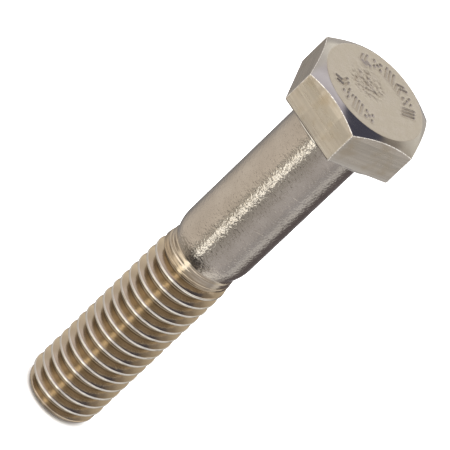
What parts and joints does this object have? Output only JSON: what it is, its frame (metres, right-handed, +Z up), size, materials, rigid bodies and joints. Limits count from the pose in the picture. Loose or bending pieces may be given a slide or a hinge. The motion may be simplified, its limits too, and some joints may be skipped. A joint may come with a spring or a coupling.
{
  "type": "hex bolt",
  "caption": "Hexagon-head bolt with a plain shank and a rolled coarse thread, for clamping parts together through a clearance hole.",
  "frame": {"origin": "where the bolt's axis crosses the bearing face under the head", "axes": "+Z up the axis towards the head, with the shank running down to -Z; +X through one corner of the hexagon, so one pair of wrench flats faces +Y and -Y"},
  "size_m": [0.0164, 0.0142, 0.0563],
  "materials": {
    "forged_steel": "stainless, forged head with fine brushed lines",
    "drawn_steel": "stainless, drawn and tumbled, slightly pebbled satin",
    "rolled_steel": "stainless, rolled smooth, warm in the grooves"
  },
  "bodies": {
    "root": {"hex_head": "forged_steel", "washer_face": "forged_steel", "shank": "drawn_steel", "neck": "drawn_steel", "rolled_thread": "rolled_steel", "point": "rolled_steel"}
  },
  "joints": []
}
